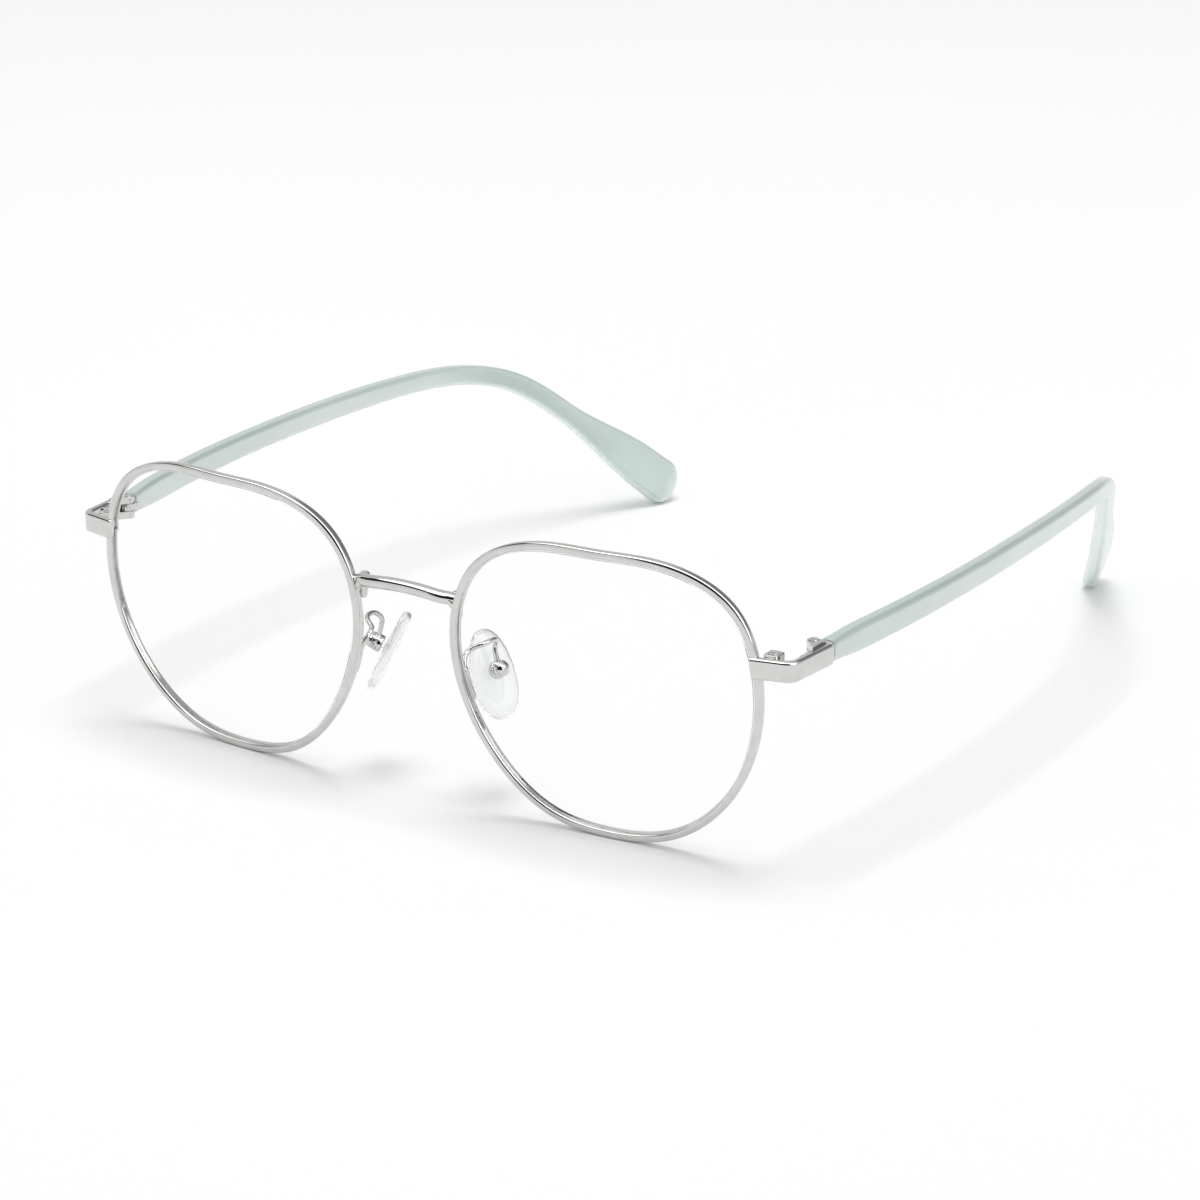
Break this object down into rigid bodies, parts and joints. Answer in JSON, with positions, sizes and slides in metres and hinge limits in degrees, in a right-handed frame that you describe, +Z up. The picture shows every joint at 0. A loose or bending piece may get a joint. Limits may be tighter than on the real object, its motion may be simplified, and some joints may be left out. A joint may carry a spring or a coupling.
{
  "type": "round wire eyeglasses",
  "caption": "Folding round wire eyeglasses: polished metal rims with clear lenses, rocking silicone nose pads on wire arms, and hinged translucent acetate temples.",
  "frame": {"origin": "on the table under the middle of the open glasses, where the rims and temple tips stand", "axes": "+X to the wearer's left, -Y out through the lenses, +Y back along the temples, +Z up"},
  "size_m": [0.1356, 0.1475, 0.0455],
  "materials": {
    "silver_metal": "polished silver plating",
    "screw_steel": "bright turned steel",
    "core_metal": "satin drawn wire",
    "mint_acetate": "polished translucent acetate",
    "clear_lens": "clear polished resin",
    "clear_silicone": "clear soft silicone",
    "insert_plastic": "clear hard plastic"
  },
  "bodies": {
    "front_frame": {"bridge": "silver_metal", "left_rim": "silver_metal", "left_lens": "clear_lens", "left_end_piece": "silver_metal", "left_upper_closing_block": "silver_metal", "left_lower_closing_block": "silver_metal", "left_rim_screw": "screw_steel", "left_front_hinge": "silver_metal", "left_hinge_screw": "screw_steel", "left_pad_arm": "silver_metal", "left_pad_box": "silver_metal", "left_pad_screw": "screw_steel", "right_rim": "silver_metal", "right_lens": "clear_lens", "right_end_piece": "silver_metal", "right_upper_closing_block": "silver_metal", "right_lower_closing_block": "silver_metal", "right_rim_screw": "screw_steel", "right_front_hinge": "silver_metal", "right_hinge_screw": "screw_steel", "right_pad_arm": "silver_metal", "right_pad_box": "silver_metal", "right_pad_screw": "screw_steel"},
    "left_arm": {"left_temple": "mint_acetate", "left_core_wire": "core_metal", "left_temple_hinge": "silver_metal"},
    "right_arm": {"right_temple": "mint_acetate", "right_core_wire": "core_metal", "right_temple_hinge": "silver_metal"},
    "left_pad": {"left_nose_pad": "clear_silicone", "left_pad_insert": "insert_plastic"},
    "right_pad": {"right_nose_pad": "clear_silicone", "right_pad_insert": "insert_plastic"}
  },
  "joints": [
    {"name": "left_temple_fold", "type": "hinge", "parent": "front_frame", "child": "left_arm", "pos_m": [0.0624, -0.0598, 0.03145], "axis": [0, 0, 1], "range_deg": [0, 85]},
    {"name": "right_temple_fold", "type": "hinge", "parent": "front_frame", "child": "right_arm", "pos_m": [-0.0624, -0.0598, 0.03145], "axis": [0, 0, -1], "range_deg": [0, 79]},
    {"name": "left_pad_rock", "type": "hinge", "parent": "front_frame", "child": "left_pad", "pos_m": [0.01136, -0.06424, 0.02033], "axis": [0.4234, 0.9059, 0.0118], "range_deg": [-10, 10]},
    {"name": "right_pad_rock", "type": "hinge", "parent": "front_frame", "child": "right_pad", "pos_m": [-0.01136, -0.06424, 0.02033], "axis": [0.4234, -0.9059, -0.0118], "range_deg": [-10, 10]}
  ]
}
